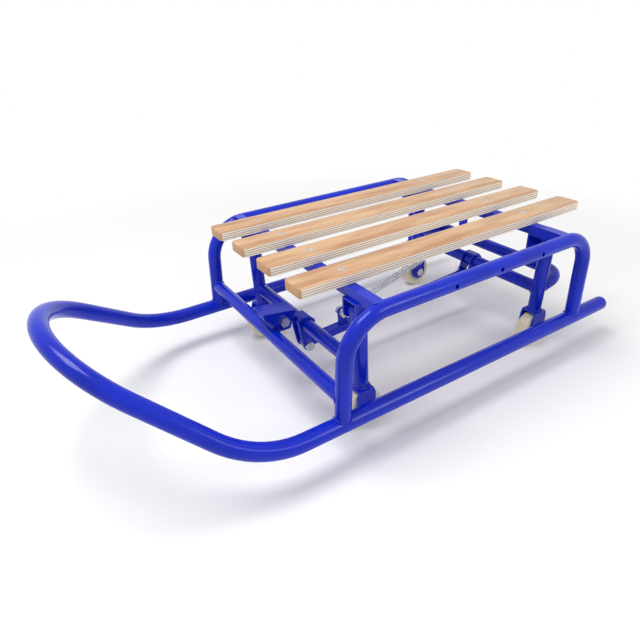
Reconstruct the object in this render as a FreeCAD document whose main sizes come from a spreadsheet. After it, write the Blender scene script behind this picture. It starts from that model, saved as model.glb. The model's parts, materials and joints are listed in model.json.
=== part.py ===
import FreeCAD, Part
import Sketcher
import math
import os

# A child's sled on two bent steel runners, with a slatted plywood seat and four small wheels
# that fold up between the runners.  Millimetres.  +X points to the bow, +Y to the sled's left,
# +Z up; the origin is on the ground below the middle of the sled, which stands on its wheels.
# Distances called "..._station" are measured forwards from the rear end of the runners.

doc = FreeCAD.newDocument("BabySled")
sheet = doc.addObject("Spreadsheet::Sheet", "Sizes")

DRIVING_SIZES = [
    # runners and bow, one tube
    ("runner_diameter", 22),
    ("runner_spacing", 360),
    ("runner_height", 57),
    ("bow_fold_station", 614.9),
    ("bow_rise_angle", 40.5),
    ("bow_taper_angle", 25.5),
    ("bow_slope_length", 206),
    ("bow_bend_radius", 130),
    # the two arches that carry the seat
    ("arch_diameter", 20),
    ("arch_rise", 135.3),
    ("arch_front_station", 506.9),
    ("arch_front_lean", 6),
    ("arch_front_radius", 56),
    ("arch_rear_station", 82.5),
    ("arch_rear_lean", 6),
    ("arch_rear_radius", 46),
    ("rail_hole_diameter", 6),
    ("rail_hole_station", 196),
    ("rail_hole_pitch", 77),
    # cross tube between the front legs of the arches
    ("cross_tube_diameter", 19),
    ("cross_tube_station", 505),
    ("cross_tube_rise", 36),
    # seat: cross members and slats
    ("member_width", 14),
    ("member_height", 13),
    ("member_wall", 2),
    ("member_drop", 0.5),
    ("front_member_station", 455.5),
    ("rear_member_station", 136.4),
    ("slat_length", 489),
    ("slat_width", 37.9),
    ("slat_thickness", 12.1),
    ("slat_pitch", 71.3),
    ("slat_corner_radius", 6),
    ("slat_rear_station", 33.7),
    # hinges of the two wheel frames
    ("front_pivot_station", 452),
    ("rear_pivot_station", 110),
    ("pivot_drop", 18.8),
    ("pivot_bolt_diameter", 8),
    ("running_clearance", 0.05),
    ("bracket_wall", 2.5),
    ("bracket_side_gap", 1),
    ("bracket_skirt", 10),
    ("front_bracket_rear_reach", 14),
    ("front_bracket_front_reach", 14),
    ("rear_bracket_rear_reach", 12),
    ("rear_bracket_front_reach", 32),
    # wheel frames
    ("leg_diameter", 20),
    ("leg_spacing", 274),
    ("front_axle_offset", -4),
    ("rear_axle_offset", 5),
    ("front_tube_drop", 80.5),
    ("rear_tube_drop", 73),
    ("fork_wall", 2.5),
    ("fork_cheek_width", 28),
    ("fork_shoulder", 8),
    ("wheel_diameter", 56),
    ("wheel_width", 18),
    ("wheel_side_gap", 1.5),
    ("wheel_top_gap", 3),
    ("wheel_rim_rounding", 4),
    ("wheel_recess_depth", 2),
    ("wheel_recess_outer", 40),
    ("wheel_hub_diameter", 18),
    ("axle_diameter", 8),
    ("bolt_head_width", 13),
    ("bolt_head_height", 5),
    # step bar behind the rear legs
    ("step_bar_diameter", 19),
    ("step_bar_reach", 50),
    ("step_bar_rise", 12),
    ("step_bar_radius", 26),
    # link between the two wheel frames
    ("link_height", 12),
    ("link_width", 13),
    ("link_wall", 1.5),
    ("link_side_gap", 1.5),
    ("link_plug_length", 20),
    ("link_bolt_diameter", 6),
    ("link_rear_clearance", 2.6),
    ("lug_wall", 3),
    ("lug_pin_radius", 8),
    ("lug_body_radius", 13),
    ("front_link_drop", 115),
    ("rear_link_drop", 96),
    ("rear_link_forward", 8.6),
    # return spring
    ("spring_diameter", 11),
    ("spring_coil_length", 130),
    ("spring_front_hook", 34),
    ("spring_wire", 2),
    ("spring_ear_back", 68),
    ("spring_ear_rise", 25),
    ("spring_ear_wall", 5),
    ("spring_ear_radius", 7),
    ("spring_anchor_drop", 38),
    ("spring_anchor_wall", 4),
    ("spring_anchor_width", 14),
    ("seat_gap", 0.3),
    # foot pedal that releases the front wheel frame
    ("pedal_width", 30),
    ("pedal_wall", 2),
    ("pedal_length", 48),
    ("pedal_cheek_depth", 26),
    ("pedal_rear_station", 470),
    ("pedal_rise", 66),
    ("pedal_slope", 7),
    ("pedal_pivot_station", 488.5),
    ("pedal_pivot_rise", 54),
    ("pedal_side_gap", 1),
    ("pedal_bracket_radius", 7),
]

DERIVED_SIZES = [
    ("rear_end", "=-(bow_fold_station + bow_slope_length * cos(bow_rise_angle) + runner_diameter / 2) / 2"),
    ("rail_height", "=runner_height + arch_rise"),
    ("member_top", "=rail_height + arch_diameter / 2 - member_drop"),
    ("member_bottom", "=member_top - member_height"),
    ("slat_top", "=member_top + slat_thickness"),
    ("pivot_height", "=member_bottom - pivot_drop"),
    ("axle_height", "=wheel_diameter / 2"),
    ("leg_side", "=leg_spacing / 2"),
    ("bracket_inside", "=leg_diameter + 2 * bracket_side_gap"),
    ("bracket_outside", "=bracket_inside + 2 * bracket_wall"),
    ("fork_inside", "=wheel_width + 2 * wheel_side_gap"),
    ("fork_outside", "=fork_inside + 2 * fork_wall"),
    ("lug_inside", "=link_width + 2 * link_side_gap"),
    ("lug_outside", "=lug_inside + 2 * lug_wall"),
]

for row, (alias, content) in enumerate(DRIVING_SIZES + DERIVED_SIZES, start=1):
    sheet.set(f"A{row}", alias)
    sheet.set(f"B{row}", str(content))
    sheet.setAlias(f"B{row}", alias)
doc.recompute()

SIZE = {alias: float(sheet.get(alias)) for alias, content in DRIVING_SIZES + DERIVED_SIZES}
ALIASES = sorted(SIZE, key=len, reverse=True)
X_DIRECTION = FreeCAD.Vector(1, 0, 0)
Y_DIRECTION = FreeCAD.Vector(0, 1, 0)
Z_DIRECTION = FreeCAD.Vector(0, 0, 1)
SIDES = {"left": 1, "right": -1}


def station(distance):
    """X of a distance measured forwards from the rear end of the runners."""
    return SIZE["rear_end"] + distance


def sheet_formula(text):
    """The expression with every size name turned into a reference to the sheet."""
    words = text.replace("(", " ( ").replace(")", " ) ").split()
    return " ".join("Sizes." + word if word in SIZE else word for word in words)


def bind(item, **formulas):
    """Binds properties of a feature to sizes in the sheet."""
    for prop, formula in formulas.items():
        item.setExpression(prop, sheet_formula(formula))


def place(item, x="0", y="0", z="0", along=Z_DIRECTION):
    """Puts a primitive's own origin at x, y, z (formulas), with its Z axis along a direction."""
    item.Placement = FreeCAD.Placement(FreeCAD.Vector(), FreeCAD.Rotation(Z_DIRECTION, along))
    for axis, formula in (("x", x), ("y", y), ("z", z)):
        item.setExpression(f"Placement.Base.{axis}", sheet_formula(formula))


def new_body(label):
    body = doc.addObject("PartDesign::Body", label)
    body.Label = label
    return body


def cylinder(body, name, radius, height, x="0", y="0", z="0", along=Z_DIRECTION, cut=False):
    """A round bar added to the body, or a round hole cut in it, from x, y, z along a direction."""
    kind = "SubtractiveCylinder" if cut else "AdditiveCylinder"
    item = body.newObject("PartDesign::" + kind, name)
    bind(item, Radius=radius, Height=height)
    place(item, x, y, z, along)
    return item


def block(body, name, length, width, height, x, y, z, cut=False):
    """A box added to or cut from the body; x, y, z is its lowest corner."""
    kind = "SubtractiveBox" if cut else "AdditiveBox"
    item = body.newObject("PartDesign::" + kind, name)
    bind(item, Length=length, Width=width, Height=height)
    place(item, x, y, z)
    return item


def hexagon(body, name, across_flats, height, x, y, z, along):
    """A hexagonal bolt head or nut."""
    item = body.newObject("PartDesign::AdditivePrism", name)
    item.Polygon = 6
    bind(item, Circumradius=f"{across_flats} / 3 ^ 0.5", Height=height)
    place(item, x, y, z, along)
    return item


def sketch_on(body, name, plane):
    """An empty sketch on one of the body's own origin planes."""
    sketch = body.newObject("Sketcher::SketchObject", name)
    support = [feature for feature in body.Origin.OriginFeatures if feature.Role == plane][0]
    sketch.AttachmentSupport = (support, [""])
    sketch.MapMode = "FlatFace"
    return sketch


def add_polygon(sketch, points):
    """A closed outline of straight lines through points given in the sketch's own axes."""
    corners = [FreeCAD.Vector(u, v, 0) for u, v in points]
    for start, end in zip(corners, corners[1:] + corners[:1]):
        sketch.addGeometry(Part.LineSegment(start, end), False)


def fillet_edges(body, name, radius, chosen):
    """Rounds the edges of the body's last feature for which chosen(edge) is true."""
    doc.recompute()
    tip = body.Tip
    names = [f"Edge{n}" for n, edge in enumerate(tip.Shape.Edges, start=1) if chosen(edge)]
    item = body.newObject("PartDesign::Fillet", name)
    item.Base = (tip, names)
    bind(item, Radius=radius)
    return item


def runs_along(direction):
    """A test for straight edges that run along a direction."""
    def test(edge):
        if edge.Curve.TypeId != "Part::GeomLine":
            return False
        tangent = edge.tangentAt(edge.FirstParameter)
        return tangent.cross(direction).Length < 1e-6
    return test


def bent_wire(points, radii):
    """Straight runs through points, with a tangent arc of the given radius at each inner point."""
    edges = []
    start = points[0]
    for before, corner, after, radius in zip(points, points[1:], points[2:], radii):
        into = (corner - before).normalize()
        out = (after - corner).normalize()
        turn = into.getAngle(out)
        setback = radius * math.tan(turn / 2)
        first = corner - into * setback
        last = corner + out * setback
        towards_centre = (out - into).normalize()
        centre = corner + towards_centre * (radius / math.cos(turn / 2))
        middle = centre - towards_centre * radius
        edges.append(Part.LineSegment(start, first).toShape())
        edges.append(Part.Arc(first, middle, last).toShape())
        start = last
    edges.append(Part.LineSegment(start, points[-1]).toShape())
    return Part.Wire(edges)


def swept_tube(wire, radius):
    """A round bar that follows a wire."""
    start = wire.Edges[0].valueAt(wire.Edges[0].FirstParameter)
    direction = wire.Edges[0].tangentAt(wire.Edges[0].FirstParameter)
    profile = Part.Wire([Part.Circle(start, direction, radius).toShape()])
    return wire.makePipeShell([profile], True, False)


def free_shape(label, shape, placement=None):
    """A sub-part whose shape comes from Part's own functions."""
    item = doc.addObject("Part::Feature", label)
    item.Label = label
    item.Shape = shape
    if placement:
        item.Placement = placement
    return item


def cut_between(label, blank, tools):
    """The blank with its ends coped to the tubes that it is welded between."""
    result = blank
    for number, tool in enumerate(tools, start=1):
        cut = doc.addObject("Part::Cut", f"{label}_cope{number}")
        cut.Base = result
        cut.Tool = tool
        result = cut
    result.Label = label
    return result


# ---------------------------------------------------------------- runners and bow

def make_runner_bow_tube():
    """Both runners and the raised bow: one bent tube with domed rear ends."""
    radius = SIZE["runner_diameter"] / 2
    half = SIZE["runner_spacing"] / 2
    height = SIZE["runner_height"]
    rise = math.radians(SIZE["bow_rise_angle"])
    taper = math.radians(SIZE["bow_taper_angle"])
    slope = SIZE["bow_slope_length"]
    nose_radius = (half * math.cos(taper) - slope * math.sin(taper)) / (1 - math.sin(taper))
    # The bow lies in a plane that rises from the fold line; u runs up that plane.
    tip_u = slope
    corner_side = half - tip_u * math.tan(taper)

    def on_slope(u, side):
        x = station(SIZE["bow_fold_station"]) + u * math.cos(rise)
        return FreeCAD.Vector(x, side, height + u * math.sin(rise))

    left = [
        FreeCAD.Vector(station(radius), half, height),
        on_slope(0, half),
        on_slope(tip_u, corner_side),
    ]
    right = [FreeCAD.Vector(point.x, -point.y, point.z) for point in reversed(left)]
    bend = SIZE["bow_bend_radius"]
    wire = bent_wire(left + right, [bend, nose_radius * 0.999999, nose_radius * 0.999999, bend])
    tube = swept_tube(wire, radius)
    ends = [Part.makeSphere(radius, point) for point in (left[0], right[-1])]
    return free_shape("runner_bow_tube", tube.fuse(ends).removeSplitter())


# ---------------------------------------------------------------- arches

def make_arch(side_name):
    """A bent tube that stands on a runner and carries the seat: leg, rail, leg."""
    body = new_body(f"{side_name}_arch")
    bind(body, **{"Placement.Base.y": f"{SIDES[side_name]} * runner_spacing / 2"})
    foot = SIZE["runner_height"]
    rail = SIZE["rail_height"]
    front = station(SIZE["arch_front_station"])
    rear = station(SIZE["arch_rear_station"])
    points = [
        FreeCAD.Vector(front, 0, foot),
        FreeCAD.Vector(front - SIZE["arch_front_lean"], 0, rail),
        FreeCAD.Vector(rear + SIZE["arch_rear_lean"], 0, rail),
        FreeCAD.Vector(rear, 0, foot),
    ]
    wire = bent_wire(points, [SIZE["arch_front_radius"], SIZE["arch_rear_radius"]])
    path = sketch_on(body, f"{side_name}_arch_path", "XZ_Plane")
    for edge in wire.Edges:
        flat = [FreeCAD.Vector(p.x, p.z, 0) for p in
                (edge.valueAt(edge.FirstParameter),
                 edge.valueAt((edge.FirstParameter + edge.LastParameter) / 2),
                 edge.valueAt(edge.LastParameter))]
        if edge.Curve.TypeId == "Part::GeomLine":
            path.addGeometry(Part.LineSegment(flat[0], flat[2]), False)
        else:
            path.addGeometry(Part.Arc(*flat), False)
    doc.recompute()
    profile = body.newObject("Sketcher::SketchObject", f"{side_name}_arch_section")
    profile.AttachmentSupport = [(path, "Edge1")]
    profile.MapMode = "NormalToEdge"
    profile.addGeometry(Part.Circle(FreeCAD.Vector(), Z_DIRECTION, SIZE["arch_diameter"] / 2), False)
    size = profile.addConstraint(Sketcher.Constraint("Radius", 0, SIZE["arch_diameter"] / 2))
    profile.setExpression(f"Constraints[{size}]", "Sizes.arch_diameter / 2")
    pipe = body.newObject("PartDesign::AdditivePipe", f"{side_name}_arch_tube")
    pipe.Profile = profile
    pipe.Spine = path
    cylinder(body, f"{side_name}_runner_cope", "runner_diameter / 2", "bow_fold_station",
             x="rear_end", z="runner_height", along=X_DIRECTION, cut=True)
    for hole in range(3):
        cylinder(body, f"{side_name}_rail_hole{hole + 1}", "rail_hole_diameter / 2", "2 * arch_diameter",
                 x=f"rear_end + rail_hole_station + {hole} * rail_hole_pitch",
                 y="-1 * arch_diameter", z="rail_height", along=Y_DIRECTION, cut=True)
    return body


# ---------------------------------------------------------------- cross pieces of the frame

def make_front_cross_tube(arches):
    blank = doc.addObject("Part::Cylinder", "front_cross_tube_blank")
    bind(blank, Radius="cross_tube_diameter / 2", Height="runner_spacing")
    place(blank, "rear_end + cross_tube_station", "-1 * runner_spacing / 2",
          "runner_height + cross_tube_rise", Y_DIRECTION)
    return cut_between("front_cross_tube", blank, arches)


def make_cross_member(end, arches):
    """A channel, open downwards, from rail to rail under the slats."""
    label = f"{end}_seat_cross_member"
    outer = doc.addObject("Part::Box", f"{label}_outer")
    bind(outer, Length="member_width", Width="runner_spacing", Height="member_height")
    place(outer, f"rear_end + {end}_member_station - member_width / 2", "-1 * runner_spacing / 2",
          "member_bottom")
    inner = doc.addObject("Part::Box", f"{label}_inner")
    bind(inner, Length="member_width - 2 * member_wall", Width="runner_spacing",
         Height="member_height - member_wall")
    place(inner, f"rear_end + {end}_member_station - member_width / 2 + member_wall",
          "-1 * runner_spacing / 2", "member_bottom")
    return cut_between(label, outer, [inner] + arches)


def make_slat(label, number):
    """One plywood board of the seat, counted from the left."""
    body = new_body(label)
    block(body, f"{label}_board", "slat_length", "slat_width", "slat_thickness",
          "rear_end + slat_rear_station", f"{1.5 - number} * slat_pitch - slat_width / 2", "member_top")
    fillet_edges(body, f"{label}_corners", "slat_corner_radius", runs_along(Z_DIRECTION))
    return body


# ---------------------------------------------------------------- hinges

def make_hinge_bracket(end, side_name):
    """A saddle under a cross member; its two cheeks hold the bolt on which a leg swings."""
    label = f"{end}_{side_name}_hinge_bracket"
    side = f"{SIDES[side_name]} * leg_side"
    pivot = f"rear_end + {end}_pivot_station"
    rear = f"{pivot} - {end}_bracket_rear_reach"
    length = f"{end}_bracket_rear_reach + {end}_bracket_front_reach"
    body = new_body(label)
    block(body, f"{label}_outer", length, "bracket_outside", "pivot_drop + bracket_skirt",
          rear, f"{side} - bracket_outside / 2", "pivot_height - bracket_skirt")
    lower = SIZE["pivot_height"] - SIZE["bracket_skirt"]
    across = runs_along(Y_DIRECTION)
    fillet_edges(body, f"{label}_rounding", "bracket_skirt - 1",
                 lambda edge: across(edge) and edge.CenterOfMass.z < lower + 1)
    block(body, f"{label}_inner", length, "bracket_inside", "pivot_drop + bracket_skirt - bracket_wall",
          rear, f"{side} - bracket_inside / 2", "pivot_height - bracket_skirt", cut=True)
    cylinder(body, f"{label}_bolt_hole", "pivot_bolt_diameter / 2", "bracket_outside",
             x=pivot, y=f"{side} - bracket_outside / 2", z="pivot_height", along=Y_DIRECTION, cut=True)
    return body


def make_cross_bolt(label, diameter, grip, x, y, z, placement=None):
    """A bolt along Y: shank through a grip centred on y, with a hexagon head and nut."""
    body = new_body(label)
    cylinder(body, f"{label}_shank", f"{diameter} / 2", grip, x=x, y=f"{y} - ( {grip} ) / 2", z=z,
             along=Y_DIRECTION)
    hexagon(body, f"{label}_head", "bolt_head_width", "bolt_head_height",
            x, f"{y} + ( {grip} ) / 2", z, Y_DIRECTION)
    hexagon(body, f"{label}_nut", "bolt_head_width", "bolt_head_height",
            x, f"{y} - ( {grip} ) / 2", z, -Y_DIRECTION)
    if placement:
        body.Placement = placement
    return body


# ---------------------------------------------------------------- wheel frames
# The pieces of a wheel frame are drawn upright below its pivot axis, which is their own origin.
# The frame's placement then moves them to the pivot and leans them so the axle meets its place.

def frame_placement(end):
    height = SIZE["pivot_height"] - SIZE["axle_height"]
    lean = math.degrees(math.atan2(SIZE[f"{end}_axle_offset"], height))
    pivot = FreeCAD.Vector(station(SIZE[f"{end}_pivot_station"]), 0, SIZE["pivot_height"])
    return FreeCAD.Placement(pivot, FreeCAD.Rotation(Y_DIRECTION, -lean))


def axle_drop(end):
    """Distance from the pivot axis down the leg to the wheel axle."""
    return math.hypot(SIZE[f"{end}_axle_offset"], SIZE["pivot_height"] - SIZE["axle_height"])


def fork_top_drop(end):
    """Distance from the pivot axis down the leg to the top of the fork."""
    return axle_drop(end) - SIZE["wheel_diameter"] / 2 - SIZE["wheel_top_gap"] - SIZE["fork_wall"]


def make_leg(end, side_name):
    """A tube that hangs from its hinge bolt, with a cross sleeve at the top."""
    label = f"{end}_{side_name}_leg"
    side = f"{SIDES[side_name]} * leg_side"
    body = new_body(label)
    cylinder(body, f"{label}_tube", "leg_diameter / 2", f"{fork_top_drop(end)}", y=side, along=-Z_DIRECTION)
    cylinder(body, f"{label}_sleeve", "leg_diameter / 2", "leg_diameter",
             y=f"{side} - leg_diameter / 2", along=Y_DIRECTION)
    cylinder(body, f"{label}_bore", "pivot_bolt_diameter / 2 + running_clearance", "bracket_outside",
             y=f"{side} - bracket_outside / 2", along=Y_DIRECTION, cut=True)
    body.Placement = frame_placement(end)
    return body


def make_wheel_cross_tube(end):
    """The tube that joins the two legs of a wheel frame, coped to both."""
    label = f"{end}_wheel_cross_tube"
    body = new_body(label)
    depth = f"-1 * {end}_tube_drop"
    cylinder(body, f"{label}_tube", "cross_tube_diameter / 2", "leg_spacing",
             y="-1 * leg_side", z=depth, along=Y_DIRECTION)
    for side_name, sign in SIDES.items():
        cylinder(body, f"{label}_{side_name}_cope", "leg_diameter / 2", "4 * leg_diameter",
                 y=f"{sign} * leg_side", z=f"{depth} - 2 * leg_diameter", cut=True)
    body.Placement = frame_placement(end)
    return body


def make_fork(end, side_name):
    """A folded plate fork with sloping shoulders, welded under a leg."""
    label = f"{end}_{side_name}_fork"
    side = SIDES[side_name] * SIZE["leg_side"]
    body = new_body(label)
    axle = -axle_drop(end)
    top = -fork_top_drop(end)
    shoulder = top - SIZE["fork_shoulder"]
    wide = SIZE["fork_cheek_width"] / 2
    narrow = SIZE["leg_diameter"] / 2 + 1
    outline = sketch_on(body, f"{label}_outline", "XZ_Plane")
    corners = [(wide, axle), (wide, shoulder), (narrow, top), (-narrow, top), (-wide, shoulder), (-wide, axle)]
    points = [FreeCAD.Vector(u, v, 0) for u, v in corners]
    for start, finish in zip(points, points[1:]):
        outline.addGeometry(Part.LineSegment(start, finish), False)
    outline.addGeometry(Part.Arc(points[-1], FreeCAD.Vector(0, axle - wide, 0), points[0]), False)
    pad = body.newObject("PartDesign::Pad", f"{label}_plate")
    pad.Profile = outline
    pad.Midplane = True
    bind(pad, Length="fork_outside")
    block(body, f"{label}_wheel_gap", "2 * fork_cheek_width", "fork_inside", "2 * wheel_diameter",
          "-1 * fork_cheek_width", "-1 * fork_inside / 2",
          f"{top} - fork_wall - 2 * wheel_diameter", cut=True)
    cylinder(body, f"{label}_axle_hole", "axle_diameter / 2", "2 * fork_outside",
             y="-1 * fork_outside", z=f"{axle}", along=Y_DIRECTION, cut=True)
    body.Placement = frame_placement(end).multiply(
        FreeCAD.Placement(FreeCAD.Vector(0, side, 0), FreeCAD.Rotation()))
    return body


def make_wheel(end, side_name):
    """A solid nylon wheel with a shallow ring recess in each face and a bore for the axle."""
    label = f"{end}_{side_name}_wheel"
    body = new_body(label)
    rim = SIZE["wheel_diameter"] / 2
    half = SIZE["wheel_width"] / 2
    rounding = SIZE["wheel_rim_rounding"]
    bore = SIZE["axle_diameter"] / 2 + SIZE["running_clearance"]
    hub = SIZE["wheel_hub_diameter"] / 2
    ring = SIZE["wheel_recess_outer"] / 2
    floor = half - SIZE["wheel_recess_depth"]
    diagonal = rounding * math.sqrt(0.5)
    # Half section: u is the radius, v the distance along the axle.
    upper = [(bore, half), (hub, half), (hub, floor), (ring, floor), (ring, half), (rim - rounding, half)]
    lower = [(u, -v) for u, v in reversed(upper)]
    section = sketch_on(body, f"{label}_section", "XY_Plane")

    def line(a, b):
        section.addGeometry(Part.LineSegment(FreeCAD.Vector(*a, 0), FreeCAD.Vector(*b, 0)), False)

    def corner(a, middle, b):
        section.addGeometry(Part.Arc(*(FreeCAD.Vector(*p, 0) for p in (a, middle, b))), False)

    for a, b in zip(upper, upper[1:]):
        line(a, b)
    corner(upper[-1], (rim - rounding + diagonal, half - rounding + diagonal), (rim, half - rounding))
    line((rim, half - rounding), (rim, rounding - half))
    corner((rim, rounding - half), (rim - rounding + diagonal, rounding - half - diagonal), lower[0])
    for a, b in zip(lower, lower[1:]):
        line(a, b)
    line(lower[-1], upper[0])
    turned = body.newObject("PartDesign::Revolution", f"{label}_turned")
    turned.Profile = section
    turned.ReferenceAxis = (section, ["V_Axis"])
    turned.Angle = 360
    centre = FreeCAD.Vector(0, SIDES[side_name] * SIZE["leg_side"], -axle_drop(end))
    body.Placement = frame_placement(end).multiply(FreeCAD.Placement(centre, FreeCAD.Rotation()))
    return body


def make_step_bar():
    """A U of tube behind the rear legs, coped to them and to their cross tube."""
    radius = SIZE["step_bar_diameter"] / 2
    side = SIZE["leg_side"]
    root = -SIZE["rear_tube_drop"]
    back = -SIZE["step_bar_reach"]
    height = root + SIZE["step_bar_rise"]
    points = [
        FreeCAD.Vector(0, side, root),
        FreeCAD.Vector(back, side, height),
        FreeCAD.Vector(back, -side, height),
        FreeCAD.Vector(0, -side, root),
    ]
    tube = swept_tube(bent_wire(points, [SIZE["step_bar_radius"]] * 2), radius)
    reach = 2 * SIZE["leg_diameter"]
    legs = [Part.makeCylinder(SIZE["leg_diameter"] / 2, 2 * reach, FreeCAD.Vector(0, y, root - reach))
            for y in (side, -side)]
    cross = Part.makeCylinder(SIZE["cross_tube_diameter"] / 2, 2 * side,
                              FreeCAD.Vector(0, -side, root), Y_DIRECTION)
    return free_shape("step_bar", tube.cut(legs + [cross]), frame_placement("rear"))


def make_link_lug(end):
    """A folded saddle over a wheel frame's cross tube; its cheeks reach down to the link bolt."""
    label = f"{end}_link_lug"
    body = new_body(label)
    tube = -SIZE[f"{end}_tube_drop"]
    pin_u, pin_v = link_pin_local(end)
    reach = SIZE["lug_body_radius"]
    low = SIZE["lug_pin_radius"]
    cut = reach * math.tan(math.radians(22.5))
    # Seen from the side: an octagon's upper half round the tube, then straight sides to the pin.
    outline = sketch_on(body, f"{label}_outline", "XZ_Plane")
    corners = [(pin_u + low, pin_v), (reach, tube - cut), (reach, tube + cut), (cut, tube + reach),
               (-cut, tube + reach), (-reach, tube + cut), (-reach, tube - cut), (pin_u - low, pin_v)]
    points = [FreeCAD.Vector(u, v, 0) for u, v in corners]
    for start, finish in zip(points, points[1:]):
        outline.addGeometry(Part.LineSegment(start, finish), False)
    outline.addGeometry(Part.Arc(points[-1], FreeCAD.Vector(pin_u, pin_v - low, 0), points[0]), False)
    pad = body.newObject("PartDesign::Pad", f"{label}_plate")
    pad.Profile = outline
    pad.Midplane = True
    bind(pad, Length="lug_outside")
    block(body, f"{label}_gap", "6 * lug_body_radius", "lug_inside", f"{end}_link_drop",
          "-3 * lug_body_radius", "-1 * lug_inside / 2",
          f"lug_body_radius - lug_wall - {end}_tube_drop - {end}_link_drop", cut=True)
    cylinder(body, f"{label}_tube_seat", "cross_tube_diameter / 2", "2 * lug_outside",
             y="-1 * lug_outside", z=f"-1 * {end}_tube_drop", along=Y_DIRECTION, cut=True)
    cylinder(body, f"{label}_bolt_hole", "link_bolt_diameter / 2", "2 * lug_outside",
             x=f"{pin_u}", y="-1 * lug_outside", z=f"{pin_v}", along=Y_DIRECTION, cut=True)
    body.Placement = frame_placement(end)
    return body


def link_pin_local(end):
    """The link bolt's place in a wheel frame, from the frame's pivot axis."""
    forward = SIZE["rear_link_forward"] if end == "rear" else 0
    return forward, -SIZE[f"{end}_link_drop"]


def link_pin(end):
    """The link bolt's place in the sled."""
    u, v = link_pin_local(end)
    return frame_placement(end).multVec(FreeCAD.Vector(u, 0, v))


# ---------------------------------------------------------------- link, spring

def link_placement():
    """The link's own origin is its front bolt, and its own -X runs to the rear bolt."""
    front = link_pin("front")
    rear = link_pin("rear")
    run = front - rear
    return FreeCAD.Placement(front, FreeCAD.Rotation(X_DIRECTION, run))


def make_link_bar():
    """A square tube between the wheel frames, with an ear on top for the return spring."""
    length = (link_pin("front") - link_pin("rear")).Length
    body = new_body("link_bar")
    block(body, "link_bar_tube", f"{length} + link_height", "link_width", "link_height",
          f"-1 * {length} - link_height / 2", "-1 * link_width / 2", "-1 * link_height / 2")
    fillet_edges(body, "link_bar_ends", "link_height / 2 - link_wall", runs_along(Y_DIRECTION))
    block(body, "link_bar_inside", f"{length} - 2 * link_plug_length", "link_width - 2 * link_wall",
          "link_height - 2 * link_wall", f"link_plug_length - {length}",
          "link_wall - link_width / 2", "link_wall - link_height / 2", cut=True)
    cylinder(body, "link_bar_front_bore", "link_bolt_diameter / 2 + running_clearance", "2 * link_width",
             y="-1 * link_width", along=Y_DIRECTION, cut=True)
    cylinder(body, "link_bar_rear_bore", "link_bolt_diameter / 2 + link_rear_clearance", "2 * link_width",
             x=f"-1 * {length}", y="-1 * link_width", along=Y_DIRECTION, cut=True)
    body.Placement = link_placement()
    return body


def make_spring_ear():
    """A plate that stands on the link bar and holds the bolt for the spring's front hook."""
    label = "spring_ear"
    body = new_body(label)
    base = SIZE["link_height"] / 2
    centre = -SIZE["spring_ear_back"]
    radius = SIZE["spring_ear_radius"]
    rise = SIZE["spring_ear_rise"]
    outline = sketch_on(body, f"{label}_outline", "XZ_Plane")
    corners = [(centre - radius, rise), (centre - radius, base), (centre + radius, base), (centre + radius, rise)]
    points = [FreeCAD.Vector(u, v, 0) for u, v in corners]
    for start, finish in zip(points, points[1:]):
        outline.addGeometry(Part.LineSegment(start, finish), False)
    outline.addGeometry(Part.Arc(points[-1], FreeCAD.Vector(centre, rise + radius, 0), points[0]), False)
    pad = body.newObject("PartDesign::Pad", f"{label}_plate")
    pad.Profile = outline
    pad.Midplane = True
    bind(pad, Length="spring_ear_wall")
    cylinder(body, f"{label}_hole", "link_bolt_diameter / 2", "2 * spring_ear_wall",
             x="-1 * spring_ear_back", y="-1 * spring_ear_wall", z="spring_ear_rise",
             along=Y_DIRECTION, cut=True)
    body.Placement = link_placement()
    return body


def spring_front():
    return link_placement().multVec(
        FreeCAD.Vector(-SIZE["spring_ear_back"], 0, SIZE["spring_ear_rise"]))


def spring_rear():
    x = station(SIZE["rear_member_station"]) + SIZE["member_width"] / 2
    return FreeCAD.Vector(x, 0, SIZE["member_bottom"] - SIZE["spring_anchor_drop"])


def make_spring_anchor():
    """A plate hanging from the rear cross member, to which the spring's rear hook runs."""
    label = "spring_anchor"
    body = new_body(label)
    block(body, f"{label}_plate", "spring_anchor_wall", "spring_anchor_width",
          "spring_anchor_drop + spring_anchor_width / 2",
          "rear_end + rear_member_station + member_width / 2 - spring_anchor_wall",
          "-1 * spring_anchor_width / 2",
          "member_bottom - spring_anchor_drop - spring_anchor_width / 2")
    return body


def make_return_spring():
    """The spring's outer shape: coils as one bar, with a thin hook wire at each end."""
    label = "return_spring"
    body = new_body(label)
    start = spring_front()
    run = spring_rear() - start
    first = SIZE["spring_ear_radius"] + SIZE["seat_gap"]
    length = run.Length - SIZE["seat_gap"]
    cylinder(body, f"{label}_wire", "spring_wire / 2", f"{length - first}", x=f"{first}", along=X_DIRECTION)
    cylinder(body, f"{label}_coils", "spring_diameter / 2", "spring_coil_length",
             x="spring_front_hook", along=X_DIRECTION)
    body.Placement = FreeCAD.Placement(start, FreeCAD.Rotation(X_DIRECTION, run))
    return body


# ---------------------------------------------------------------- foot pedal

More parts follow.
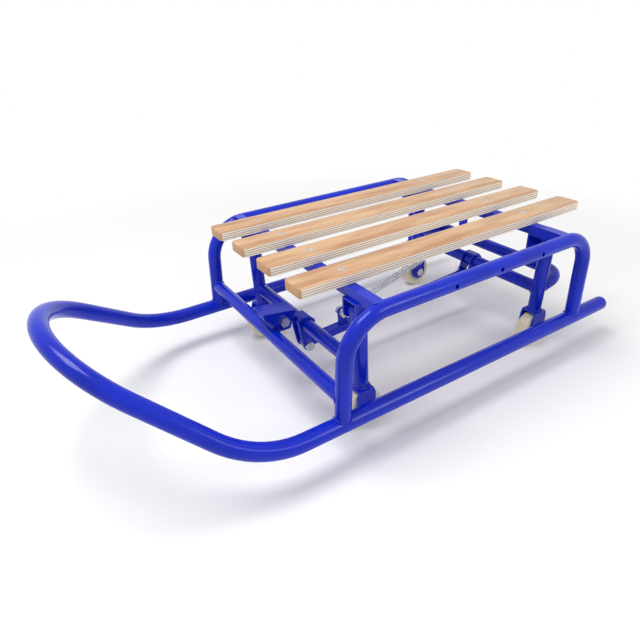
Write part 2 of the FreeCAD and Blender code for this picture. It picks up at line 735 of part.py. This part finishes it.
def make_pedal_bracket():
    """Two cheeks and a back plate, standing on the front cross tube, that hold the pedal's bolt."""
    label = "pedal_bracket"
    body = new_body(label)
    pivot_u = station(SIZE["pedal_pivot_station"])
    pivot_v = SIZE["runner_height"] + SIZE["pedal_pivot_rise"]
    tube_u = station(SIZE["cross_tube_station"])
    tube_v = SIZE["runner_height"] + SIZE["cross_tube_rise"]
    radius = SIZE["pedal_bracket_radius"]
    direction = FreeCAD.Vector(tube_u - pivot_u, tube_v - pivot_v, 0).normalize()
    normal = FreeCAD.Vector(-direction.y, direction.x, 0) * radius
    pivot = FreeCAD.Vector(pivot_u, pivot_v, 0)
    tube = FreeCAD.Vector(tube_u, tube_v, 0)
    outline = sketch_on(body, f"{label}_outline", "XZ_Plane")
    outline.addGeometry(Part.LineSegment(pivot + normal, tube + normal), False)
    outline.addGeometry(Part.LineSegment(tube + normal, tube - normal), False)
    outline.addGeometry(Part.LineSegment(tube - normal, pivot - normal), False)
    outline.addGeometry(Part.Arc(pivot - normal, pivot - direction * radius, pivot + normal), False)
    pad = body.newObject("PartDesign::Pad", f"{label}_plate")
    pad.Profile = outline
    pad.Midplane = True
    bind(pad, Length="pedal_width - 2 * pedal_wall - 2 * pedal_side_gap")
    cylinder(body, f"{label}_tube_seat", "cross_tube_diameter / 2", "2 * pedal_width",
             x="rear_end + cross_tube_station", y="-1 * pedal_width",
             z="runner_height + cross_tube_rise", along=Y_DIRECTION, cut=True)
    cylinder(body, f"{label}_bolt_hole", "link_bolt_diameter / 2", "2 * pedal_width",
             x="rear_end + pedal_pivot_station", y="-1 * pedal_width",
             z="runner_height + pedal_pivot_rise", along=Y_DIRECTION, cut=True)
    return body


def pedal_outline(wall):
    """Side outline of the pedal, moved in by a wall from its top plate."""
    rear_u = station(SIZE["pedal_rear_station"])
    top = SIZE["runner_height"] + SIZE["pedal_rise"]
    length = SIZE["pedal_length"]
    slope = SIZE["pedal_slope"]
    depth = SIZE["pedal_cheek_depth"]
    return [
        (rear_u, top - wall),
        (rear_u + length, top + slope - wall),
        (rear_u + length, top + slope - 3 * SIZE["pedal_wall"]),
        (rear_u + 0.48 * length, top - depth),
        (rear_u + 0.18 * length, top - depth),
    ]


def make_foot_pedal():
    """A folded channel over its bracket: top plate for the foot, and two cheeks with the bolt."""
    label = "foot_pedal"
    body = new_body(label)
    outline = sketch_on(body, f"{label}_outline", "XZ_Plane")
    add_polygon(outline, pedal_outline(0))
    pad = body.newObject("PartDesign::Pad", f"{label}_plate")
    pad.Profile = outline
    pad.Midplane = True
    bind(pad, Length="pedal_width")
    hollow = sketch_on(body, f"{label}_hollow", "XZ_Plane")
    rear_u = station(SIZE["pedal_rear_station"])
    top = SIZE["runner_height"] + SIZE["pedal_rise"] - SIZE["pedal_wall"]
    margin = SIZE["pedal_width"]
    slope = SIZE["pedal_slope"] / SIZE["pedal_length"] * margin
    far = rear_u + SIZE["pedal_length"] + margin
    add_polygon(hollow, [
        (rear_u - margin, top - slope),
        (far, top + SIZE["pedal_slope"] + slope),
        (far, top - 3 * margin),
        (rear_u - margin, top - 3 * margin),
    ])
    pocket = body.newObject("PartDesign::Pocket", f"{label}_inside")
    pocket.Profile = hollow
    pocket.Midplane = True
    bind(pocket, Length="pedal_width - 2 * pedal_wall")
    cylinder(body, f"{label}_bolt_hole", "link_bolt_diameter / 2", "2 * pedal_width",
             x="rear_end + pedal_pivot_station", y="-1 * pedal_width",
             z="runner_height + pedal_pivot_rise", along=Y_DIRECTION, cut=True)
    return body


# ---------------------------------------------------------------- the whole sled

def make_sled():
    arches = [make_arch(side_name) for side_name in SIDES]
    nodes = [make_runner_bow_tube()] + arches
    nodes.append(make_front_cross_tube(arches))
    for end in ("front", "rear"):
        nodes.append(make_cross_member(end, arches))
    slat_labels = ["outer_left_slat", "inner_left_slat", "inner_right_slat", "outer_right_slat"]
    nodes += [make_slat(label, number) for number, label in enumerate(slat_labels)]
    for end in ("front", "rear"):
        upright = frame_placement(end)
        for side_name, sign in SIDES.items():
            side = f"{sign} * leg_side"
            nodes.append(make_hinge_bracket(end, side_name))
            nodes.append(make_cross_bolt(f"{end}_{side_name}_hinge_bolt", "pivot_bolt_diameter",
                                         "bracket_outside", f"rear_end + {end}_pivot_station", side,
                                         "pivot_height"))
            nodes.append(make_leg(end, side_name))
            nodes.append(make_fork(end, side_name))
            nodes.append(make_cross_bolt(f"{end}_{side_name}_axle_bolt", "axle_diameter", "fork_outside",
                                         "0", side, f"{-axle_drop(end)}", upright))
            nodes.append(make_wheel(end, side_name))
        nodes.append(make_wheel_cross_tube(end))
        nodes.append(make_link_lug(end))
        pin_u, pin_v = link_pin_local(end)
        nodes.append(make_cross_bolt(f"{end}_link_bolt", "link_bolt_diameter", "lug_outside",
                                     f"{pin_u}", "0", f"{pin_v}", upright))
    nodes.append(make_step_bar())
    nodes.append(make_link_bar())
    nodes.append(make_spring_ear())
    nodes.append(make_cross_bolt("spring_bolt", "link_bolt_diameter", "spring_ear_wall",
                                 "-1 * spring_ear_back", "0", "spring_ear_rise", link_placement()))
    nodes.append(make_spring_anchor())
    nodes.append(make_return_spring())
    nodes.append(make_pedal_bracket())
    nodes.append(make_foot_pedal())
    nodes.append(make_cross_bolt("pedal_bolt", "link_bolt_diameter", "pedal_width",
                                 "rear_end + pedal_pivot_station", "0",
                                 "runner_height + pedal_pivot_rise"))
    return nodes


def check_and_export(nodes):
    doc.recompute()
    for item in doc.Objects:
        if "Invalid" in item.State or "Error" in item.State:
            raise RuntimeError(f"{item.Label} did not build: {item.State}")
    os.makedirs("parts", exist_ok=True)
    for node in nodes:
        shape = node.Shape
        if shape.isNull() or not shape.isValid() or not shape.Solids:
            raise RuntimeError(f"{node.Label} has no valid solid")
        shape.exportStep(f"parts/{node.Label}.step")
        print(f"{node.Label}: {len(shape.Solids)} solid, {shape.Volume:.0f} mm3")


check_and_export(make_sled())
for end in ("front", "rear"):
    print(f"{end} link pin", link_pin(end), "axle offset", SIZE[f"{end}_axle_offset"])
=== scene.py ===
import bpy
import json
import math
from mathutils import Matrix, Vector


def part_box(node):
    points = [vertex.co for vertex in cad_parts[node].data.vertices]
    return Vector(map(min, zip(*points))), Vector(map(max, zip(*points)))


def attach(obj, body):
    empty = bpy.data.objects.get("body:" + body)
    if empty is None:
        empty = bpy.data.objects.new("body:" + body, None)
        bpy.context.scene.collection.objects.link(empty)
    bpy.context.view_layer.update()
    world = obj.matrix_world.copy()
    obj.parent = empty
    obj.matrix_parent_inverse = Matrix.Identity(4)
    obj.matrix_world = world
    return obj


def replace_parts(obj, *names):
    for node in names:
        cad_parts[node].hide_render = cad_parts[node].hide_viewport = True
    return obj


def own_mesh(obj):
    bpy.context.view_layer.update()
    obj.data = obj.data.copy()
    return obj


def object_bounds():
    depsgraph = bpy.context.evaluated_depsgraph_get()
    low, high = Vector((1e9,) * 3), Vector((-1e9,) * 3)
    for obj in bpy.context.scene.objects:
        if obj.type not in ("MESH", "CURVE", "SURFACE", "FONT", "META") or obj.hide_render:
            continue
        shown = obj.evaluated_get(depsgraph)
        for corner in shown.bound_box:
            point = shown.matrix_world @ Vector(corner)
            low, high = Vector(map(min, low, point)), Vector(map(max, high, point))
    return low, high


# A child's sled: blue enamelled tube, slatted plywood seat, four small nylon wheels.
# Metres, in the sled's own frame: +X to the bow, +Y to the sled's left, +Z up.

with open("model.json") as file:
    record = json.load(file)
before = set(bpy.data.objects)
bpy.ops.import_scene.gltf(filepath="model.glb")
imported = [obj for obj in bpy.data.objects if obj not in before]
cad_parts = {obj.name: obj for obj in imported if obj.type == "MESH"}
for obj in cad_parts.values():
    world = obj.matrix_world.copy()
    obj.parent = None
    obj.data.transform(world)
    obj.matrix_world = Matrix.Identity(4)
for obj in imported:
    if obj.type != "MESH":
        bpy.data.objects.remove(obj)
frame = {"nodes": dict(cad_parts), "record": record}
cad_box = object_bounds()
MM = 0.001


def box_of(node):
    """Lowest and highest corners of a node, as vectors."""
    low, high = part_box(node)
    return Vector(low), Vector(high)


def middle_of(node):
    low, high = box_of(node)
    return (low + high) / 2


# ---------------------------------------------------------------- materials

def hex_colour(text):
    """An sRGB hex value as linear red, green, blue and full alpha."""
    channels = [int(text[i:i + 2], 16) / 255 for i in (0, 2, 4)]
    linear = [c / 12.92 if c <= 0.04045 else ((c + 0.055) / 1.055) ** 2.4 for c in channels]
    return (*linear, 1.0)


def add_node(material, kind, settings=None, inputs=None):
    """Adds a node; a value in inputs that is an output socket is linked, any other is set."""
    tree = material.node_tree
    node = tree.nodes.new(kind)
    for name, value in (settings or {}).items():
        setattr(node, name, value)
    for name, value in (inputs or {}).items():
        socket = node.inputs[name]
        if isinstance(value, bpy.types.NodeSocket):
            tree.links.new(value, socket)
        else:
            socket.default_value = value
    return node


def new_material(name):
    """A material with a Principled shader; returns both."""
    material = bpy.data.materials.new(name)
    material.use_nodes = True
    return material, material.node_tree.nodes["Principled BSDF"]


def link(material, output, socket):
    material.node_tree.links.new(output, socket)


def object_coordinates(material):
    return add_node(material, "ShaderNodeTexCoord").outputs["Object"]


def noise(material, vector, size_mm, detail=3.0):
    """Noise whose features are about size_mm across."""
    inputs = {"Vector": vector, "Scale": 1 / (size_mm * MM), "Detail": detail}
    return add_node(material, "ShaderNodeTexNoise", inputs=inputs)


def ramp(material, factor, stops):
    """A colour ramp through (position, hex) stops."""
    node = add_node(material, "ShaderNodeValToRGB", inputs={"Fac": factor})
    elements = node.color_ramp.elements
    for element, (position, text) in zip(elements, stops):
        element.position = position
        element.color = hex_colour(text)
    for position, text in stops[2:]:
        elements.new(position).color = hex_colour(text)
    return node.outputs["Color"]


def bump(material, shader, height, distance_mm, strength):
    inputs = {"Height": height, "Distance": distance_mm * MM, "Strength": strength}
    node = add_node(material, "ShaderNodeBump", inputs=inputs)
    link(material, node.outputs["Normal"], shader.inputs["Normal"])


def stretched(material, vector, scale):
    """The coordinates with each axis multiplied, to draw a pattern out along the others."""
    inputs = {"Vector": vector, "Scale": scale}
    return add_node(material, "ShaderNodeMapping", inputs=inputs).outputs["Vector"]


def gloss_enamel():
    """Sprayed alkyd enamel on steel tube: deep blue, wet gloss with a faint orange peel."""
    material, shader = new_material("gloss blue enamel")
    place = object_coordinates(material)
    tone = noise(material, place, 60)
    colour = ramp(material, tone.outputs["Fac"], [(0.3, "0520AE"), (0.7, "0828C4")])
    link(material, colour, shader.inputs["Base Color"])
    shader.inputs["Roughness"].default_value = 0.2
    shader.inputs["IOR"].default_value = 1.5
    shader.inputs["Specular IOR Level"].default_value = 0.22
    shader.inputs["Coat Weight"].default_value = 0.12
    shader.inputs["Coat Roughness"].default_value = 0.06
    peel = noise(material, place, 2.5, 2.0)
    bump(material, shader, peel.outputs["Fac"], 0.04, 0.25)
    return material


def plywood_face():
    """Clear-lacquered birch veneer: warm tan, long cathedral grain and fine dark pores."""
    material, shader = new_material("lacquered birch veneer")
    place = object_coordinates(material)
    broad = noise(material, stretched(material, place, (0.12, 1.0, 1.0)), 14, 2.0)
    colour = ramp(material, broad.outputs["Fac"], [(0.34, "BD8F68"), (0.5, "CFA67E"), (0.66, "D9B48C")])
    fine = noise(material, stretched(material, place, (0.03, 1.0, 1.0)), 1.2, 4.0)
    pores = ramp(material, fine.outputs["Fac"], [(0.42, "B98A60"), (0.56, "FFFFFF")])
    grain = add_node(material, "ShaderNodeMix", {"data_type": "RGBA", "blend_type": "MULTIPLY"})
    grain.inputs["Factor"].default_value = 0.35
    link(material, colour, grain.inputs["A"])
    link(material, pores, grain.inputs["B"])
    link(material, grain.outputs["Result"], shader.inputs["Base Color"])
    shader.inputs["Roughness"].default_value = 0.45
    shader.inputs["Coat Weight"].default_value = 0.15
    shader.inputs["Coat Roughness"].default_value = 0.3
    bump(material, shader, fine.outputs["Fac"], 0.05, 0.3)
    return material


def plywood_edge(name, veneer, glue, layers):
    """A sawn plywood edge: pale veneers with brown glue lines, drawn coarse enough to show."""
    material, shader = new_material(name)
    low, high = box_of("outer_left_slat")
    place = object_coordinates(material)
    wander = noise(material, stretched(material, place, (0.2, 0.2, 1.0)), 9, 2.0)
    height = add_node(material, "ShaderNodeSeparateXYZ", inputs={"Vector": place}).outputs["Z"]
    layer = add_node(material, "ShaderNodeMapRange", inputs={
        "Value": height, "From Min": low.z, "From Max": high.z, "To Min": 0.0, "To Max": layers})
    shift = add_node(material, "ShaderNodeMath", {"operation": "MULTIPLY_ADD"}, {
        0: wander.outputs["Fac"], 1: 0.12, 2: layer.outputs["Result"]})
    part = add_node(material, "ShaderNodeMath", {"operation": "FRACT"}, {0: shift.outputs["Value"]})
    colour = ramp(material, part.outputs["Value"], [
        (0.0, glue), (1.0, glue), (0.3, veneer), (0.8, veneer)])
    link(material, colour, shader.inputs["Base Color"])
    shader.inputs["Roughness"].default_value = 0.6
    fibre = noise(material, stretched(material, place, (0.1, 0.1, 1.0)), 2.5)
    bump(material, shader, fibre.outputs["Fac"], 0.04, 0.15)
    return material


def cast_nylon():
    """Moulded natural nylon: cream, faintly see-through, with a soft satin skin."""
    material, shader = new_material("natural nylon")
    place = object_coordinates(material)
    tone = noise(material, place, 20)
    colour = ramp(material, tone.outputs["Fac"], [(0.3, "D9D0AE"), (0.7, "EAE4CC")])
    link(material, colour, shader.inputs["Base Color"])
    shader.inputs["Roughness"].default_value = 0.35
    shader.inputs["IOR"].default_value = 1.53
    shader.inputs["Subsurface Weight"].default_value = 0.25
    shader.inputs["Subsurface Scale"].default_value = 4 * MM
    scuffs = noise(material, place, 3)
    bump(material, shader, scuffs.outputs["Fac"], 0.05, 0.2)
    return material


def bright_zinc():
    """Zinc-plated steel: cool grey, bright but slightly cloudy."""
    material, shader = new_material("bright zinc plate")
    place = object_coordinates(material)
    cloud = noise(material, place, 4)
    colour = ramp(material, cloud.outputs["Fac"], [(0.3, "B9BDC0"), (0.7, "D6D9DB")])
    link(material, colour, shader.inputs["Base Color"])
    shader.inputs["Metallic"].default_value = 1.0
    shader.inputs["Roughness"].default_value = 0.28
    bump(material, shader, cloud.outputs["Fac"], 0.03, 0.3)
    return material


enamel = gloss_enamel()
veneer_face = plywood_face()
veneer_edge = plywood_edge("plywood long edge", "FBF0DC", "9A6A42", 4)
veneer_end = plywood_edge("plywood end grain", "CC9F72", "B3865C", 4)
nylon = cast_nylon()
zinc = bright_zinc()

SLOT_MATERIALS = {"blue_paint": enamel, "plywood": veneer_face, "nylon": nylon, "zinc": zinc}
for part in frame["record"]["subparts"]:
    shown = frame["nodes"][part["node"]]
    shown.data.materials.clear()
    shown.data.materials.append(SLOT_MATERIALS[part["material_slot"]])


# ---------------------------------------------------------------- modelling helpers

def start_fresh():
    """Leaves edit mode and deselects everything, so that an operator acts on new work only."""
    if bpy.context.object and bpy.context.object.mode != "OBJECT":
        bpy.ops.object.mode_set(mode="OBJECT")
    bpy.ops.object.select_all(action="DESELECT")


def finish_piece(piece, name, body, material):
    """Applies the piece's place to its mesh, names it and hands it to a body."""
    start_fresh()
    piece.select_set(True)
    bpy.context.view_layer.objects.active = piece
    bpy.ops.object.transform_apply(location=True, rotation=True, scale=True)
    piece.name = name
    piece.data.name = name
    if not piece.data.materials:
        piece.data.materials.append(material)
    bpy.ops.object.shade_smooth_by_angle(angle=math.radians(40))
    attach(piece, body)
    return piece


def add_modifier(piece, kind, **settings):
    """Adds a modifier and applies it."""
    bpy.context.view_layer.objects.active = piece
    modifier = piece.modifiers.new(kind.title(), kind)
    for name, value in settings.items():
        setattr(modifier, name, value)
    bpy.ops.object.modifier_apply(modifier=modifier.name)


# ---------------------------------------------------------------- slats

CORNER = 6 * MM
ARRIS = 0.7 * MM


def plywood_slat(node):
    """A board with clipped corners and eased arrises, veneer on its faces and plies on its edges."""
    low, high = box_of(node)
    start_fresh()
    bpy.ops.mesh.primitive_cube_add(size=1, location=(low + high) / 2)
    board = bpy.context.object
    board.scale = high - low
    bpy.ops.object.transform_apply(location=True, rotation=False, scale=True)
    bpy.ops.object.mode_set(mode="EDIT")
    bpy.ops.mesh.select_mode(type="EDGE")
    bpy.ops.mesh.select_all(action="DESELECT")
    bpy.ops.object.mode_set(mode="OBJECT")
    for edge in board.data.edges:
        a, b = (board.data.vertices[i].co for i in edge.vertices)
        edge.select = abs(a.z - b.z) > 1 * MM
    bpy.ops.object.mode_set(mode="EDIT")
    bpy.ops.mesh.bevel(offset=CORNER, segments=5, profile=0.5)
    bpy.ops.object.mode_set(mode="OBJECT")
    add_modifier(board, "BEVEL", width=ARRIS, segments=2, limit_method="ANGLE",
                 angle_limit=math.radians(60))
    for material in (veneer_face, veneer_edge, veneer_end):
        board.data.materials.append(material)
    for face in board.data.polygons:
        if abs(face.normal.z) > 0.75:
            face.material_index = 0
        elif abs(face.normal.y) > 0.75:
            face.material_index = 1
        else:
            face.material_index = 2
    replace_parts(finish_piece(board, f"plywood_{node}", "frame", veneer_face), node)


SLATS = ["outer_left_slat", "inner_left_slat", "inner_right_slat", "outer_right_slat"]
for slat in SLATS:
    plywood_slat(slat)


# ---------------------------------------------------------------- screws and bolts

def slat_screw(name, x, y, z):
    """A cross-head screw whose head stands 0.3 mm proud of the veneer."""
    radius = 4.6 * MM
    start_fresh()
    bpy.ops.mesh.primitive_cylinder_add(vertices=24, radius=radius, depth=1.2 * MM,
                                        location=(x, y, z))
    head = bpy.context.object
    add_modifier(head, "BEVEL", width=0.3 * MM, segments=2, limit_method="ANGLE")
    cutters = []
    for turn in (0.4, 0.4 + math.pi / 2):
        bpy.ops.mesh.primitive_cube_add(size=1, location=(x, y, z + 0.5 * MM), rotation=(0, 0, turn))
        cutter = bpy.context.object
        cutter.scale = (4.2 * MM, 0.9 * MM, 1.0 * MM)
        cutters.append(cutter)
    for cutter in cutters:
        add_modifier(head, "BOOLEAN", operation="DIFFERENCE", object=cutter, solver="EXACT")
    for cutter in cutters:
        bpy.data.objects.remove(cutter, do_unlink=True)
    return finish_piece(head, name, "frame", zinc)


for slat in SLATS:
    for end in ("front", "rear"):
        member = middle_of(f"{end}_seat_cross_member")
        low, high = box_of(slat)
        slat_screw(f"{end}_screw_{slat}", member.x, (low.y + high.y) / 2, high.z - 0.3 * MM)


# ---------------------------------------------------------------- weld beads

RIPPLES = 24
RIPPLE_DEPTH = 0.16
RING = 0.1
CROSS_TUBE_RADIUS = 9.5 * MM


def weld_bead(name, body, foot, axis, tube_radius, host_axis, host_radius, size=1.7 * MM):
    """A rippled bead round a tube where it meets a larger or equal tube.

    foot is where the tube's axis meets the host's axis; axis points up the tube."""
    axis = Vector(axis).normalized()
    host = Vector(host_axis).normalized()
    across = axis.cross(host).normalized()
    along = across.cross(axis).normalized()
    start_fresh()
    bpy.ops.mesh.primitive_torus_add(major_segments=72, minor_segments=10,
                                     major_radius=1.0, minor_radius=RING)
    bead = bpy.context.object
    for vertex in bead.data.vertices:
        angle = math.atan2(vertex.co.y, vertex.co.x)
        ripple = 1 + RIPPLE_DEPTH * math.sin(RIPPLES * angle)
        out = math.hypot(vertex.co.x, vertex.co.y) - 1.0
        reach = tube_radius + (out / RING) * size * ripple
        side = tube_radius * math.sin(angle)
        saddle = math.sqrt(max(host_radius ** 2 - side ** 2, 0.0))
        rise = saddle + (vertex.co.z / RING) * size * ripple
        vertex.co = (Vector(foot) + along * (reach * math.cos(angle))
                     + across * (reach * math.sin(angle)) + axis * rise)
    bpy.ops.object.mode_set(mode="EDIT")
    bpy.ops.mesh.select_all(action="SELECT")
    bpy.ops.mesh.normals_make_consistent(inside=False)
    bpy.ops.object.mode_set(mode="OBJECT")
    return finish_piece(bead, name, body, enamel)


def weld_all():
    """Beads at the arch feet, the cross tube's ends, the wheel frames and the fork tops."""
    runner_low, runner_high = box_of("runner_bow_tube")
    runner_radius = 11 * MM
    tube_radius = 10 * MM
    runner_z = runner_low.z + runner_radius
    half = runner_high.y - runner_radius
    arch_low, arch_high = box_of("left_arch")
    for side_name, sign in (("left", 1), ("right", -1)):
        side = sign * half
        weld_bead(f"{side_name}_front_foot_weld", "frame", (arch_high.x - tube_radius, side, runner_z),
                  (-0.044, 0, 1), tube_radius, (1, 0, 0), runner_radius)
        weld_bead(f"{side_name}_rear_foot_weld", "frame", (arch_low.x + tube_radius, side, runner_z),
                  (0.044, 0, 1), tube_radius, (1, 0, 0), runner_radius)
        cross = middle_of("front_cross_tube")
        weld_bead(f"{side_name}_cross_tube_weld", "frame", (cross.x, side, cross.z),
                  (0, -sign, 0), CROSS_TUBE_RADIUS, (0, 0, 1), tube_radius)
        for end in ("front", "rear"):
            leg = middle_of(f"{end}_{side_name}_leg")
            tube = middle_of(f"{end}_wheel_cross_tube")
            weld_bead(f"{end}_{side_name}_tube_weld", f"{end}_wheel_frame",
                      (tube.x, leg.y, tube.z), (0, -sign, 0), CROSS_TUBE_RADIUS, (0, 0, 1), tube_radius)
            fork_low, fork_high = box_of(f"{end}_{side_name}_fork")
            fork_x = (fork_low.x + fork_high.x) / 2
            weld_bead(f"{end}_{side_name}_fork_weld", f"{end}_wheel_frame",
                      (fork_x, leg.y, fork_high.z), (0, 0, 1), tube_radius, (1, 0, 0), 0.0, 1.9 * MM)


weld_all()


# ---------------------------------------------------------------- return spring

def coil_spring():
    """Zinc spring wire between the link's bolt and the anchor, wound coarse enough to show."""
    start = middle_of("spring_bolt")
    anchor_high = box_of("spring_anchor")[1]
    spring_high = box_of("return_spring")[1]
    finish = Vector((anchor_high.x, 0, spring_high.z - 1 * MM))
    run = finish - start
    axis = run.normalized()
    up = axis.cross(Vector((0, 1, 0))).normalized()
    side = axis.cross(up)
    radius = 4.3 * MM
    wire = 1.1 * MM
    pitch = 4.8 * MM
    first = 34 * MM
    coils = 130 * MM
    lead = 8 * MM
    hook_gap = 4 * MM
    turns = int(coils / pitch)
    steps = 14
    points = [start + axis * lead, start + axis * (first - hook_gap)]
    for step in range(turns * steps + 1):
        angle = 2 * math.pi * step / steps
        along = first + coils * step / (turns * steps)
        points.append(start + axis * along + (up * math.cos(angle) + side * math.sin(angle)) * radius)
    points.append(start + axis * (first + coils + hook_gap))
    points.append(finish + axis * (1 * MM))
    curve = bpy.data.curves.new("return_spring_coil", "CURVE")
    curve.dimensions = "3D"
    curve.bevel_depth = wire
    curve.bevel_resolution = 3
    curve.use_fill_caps = True
    spline = curve.splines.new("POLY")
    spline.points.add(len(points) - 1)
    for target, point in zip(spline.points, points):
        target.co = (*point, 1.0)
    piece = bpy.data.objects.new("return_spring_coil", curve)
    bpy.context.scene.collection.objects.link(piece)
    start_fresh()
    piece.select_set(True)
    bpy.context.view_layer.objects.active = piece
    bpy.ops.object.convert(target="MESH")
    piece = bpy.context.object
    finish_piece(piece, "return_spring_coil", "frame", zinc)
    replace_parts(piece, "return_spring")
    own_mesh(piece)


coil_spring()


# ---------------------------------------------------------------- floor, light, camera

def make_floor():
    """A plain pale studio floor, far larger than the view."""
    start_fresh()
    bpy.ops.mesh.primitive_plane_add(size=30, location=(0, 0, cad_box[0][2]))
    floor = bpy.context.object
    floor.name = "studio_floor"
    material, shader = new_material("matt white studio floor")
    shader.inputs["Base Color"].default_value = hex_colour("FAFAFA")
    shader.inputs["Roughness"].default_value = 0.9
    reach = add_node(material, "ShaderNodeVectorMath", {"operation": "LENGTH"},
                     {0: object_coordinates(material)}).outputs["Value"]
    away = add_node(material, "ShaderNodeMapRange", inputs={
        "Value": reach, "From Min": 0.6, "From Max": 1.1})
    rays = add_node(material, "ShaderNodeLightPath")
    seen = add_node(material, "ShaderNodeMath", {"operation": "MAXIMUM"}, {
        0: rays.outputs["Is Camera Ray"], 1: rays.outputs["Is Glossy Ray"]})
    bright = add_node(material, "ShaderNodeMath", {"operation": "MULTIPLY"}, {
        0: away.outputs["Result"], 1: seen.outputs["Value"]})
    paper = add_node(material, "ShaderNodeEmission", inputs={"Color": (1, 1, 1, 1), "Strength": 1.0})
    blend = add_node(material, "ShaderNodeMixShader", inputs={"Fac": bright.outputs["Value"]})
    link(material, shader.outputs["BSDF"], blend.inputs[1])
    link(material, paper.outputs["Emission"], blend.inputs[2])
    link(material, blend.outputs["Shader"], material.node_tree.nodes["Material Output"].inputs["Surface"])
    floor.data.materials.append(material)


def make_world():
    """Surroundings that light the object dimly and are white where seen or mirrored."""
    world = bpy.data.worlds.new("studio surroundings")
    bpy.context.scene.world = world
    world.use_nodes = True
    tree = world.node_tree
    tree.nodes["Background"].inputs["Color"].default_value = (1, 1, 1, 1)
    tree.nodes["Background"].inputs["Strength"].default_value = 0.5
    seen = add_node(world, "ShaderNodeBackground", inputs={"Color": (1, 1, 1, 1), "Strength": 1.0})
    rays = add_node(world, "ShaderNodeLightPath")
    shown = add_node(world, "ShaderNodeMath", {"operation": "MAXIMUM"}, {
        0: rays.outputs["Is Camera Ray"], 1: rays.outputs["Is Glossy Ray"]})
    mix = add_node(world, "ShaderNodeMixShader", inputs={"Fac": shown.outputs["Value"]})
    tree.links.new(tree.nodes["Background"].outputs[0], mix.inputs[1])
    tree.links.new(seen.outputs[0], mix.inputs[2])
    tree.links.new(mix.outputs[0], tree.nodes["World Output"].inputs["Surface"])


def area_light(name, place, target, size, power):
    lamp = bpy.data.lights.new(name, "AREA")
    lamp.size = size
    lamp.energy = power
    item = bpy.data.objects.new(name, lamp)
    item.location = place
    item.rotation_euler = (Vector(target) - Vector(place)).to_track_quat("-Z", "Y").to_euler()
    bpy.context.scene.collection.objects.link(item)


def make_camera():
    """A 30 mm lens above the sled's front left corner, rolled slightly."""
    yaw, pitch, roll = (math.radians(a) for a in (238.45, -30.31, -2.35))
    forward = Vector((math.cos(pitch) * math.cos(yaw), math.cos(pitch) * math.sin(yaw), math.sin(pitch)))
    right = forward.cross(Vector((0, 0, 1))).normalized()
    up = right.cross(forward)
    level_right = right * math.cos(roll) + up * math.sin(roll)
    level_up = up * math.cos(roll) - right * math.sin(roll)
    turn = Matrix((level_right, level_up, -forward)).transposed()
    lens = bpy.data.cameras.new("sled camera")
    lens.lens = 29.62
    lens.sensor_width = 36
    camera = bpy.data.objects.new("sled camera", lens)
    camera.matrix_world = Matrix.Translation((0.3789, 0.5678, 0.4724)) @ turn.to_4x4()
    bpy.context.scene.collection.objects.link(camera)
    bpy.context.scene.camera = camera


make_floor()
make_world()
area_light("key softbox", (0.6, -0.2, 1.8), (0, 0, 0.1), 0.9, 22)
area_light("side softbox", (-0.9, 1.6, 1.1), (0, 0, 0.1), 0.8, 9)
make_camera()
bpy.context.scene.view_settings.view_transform = "Standard"
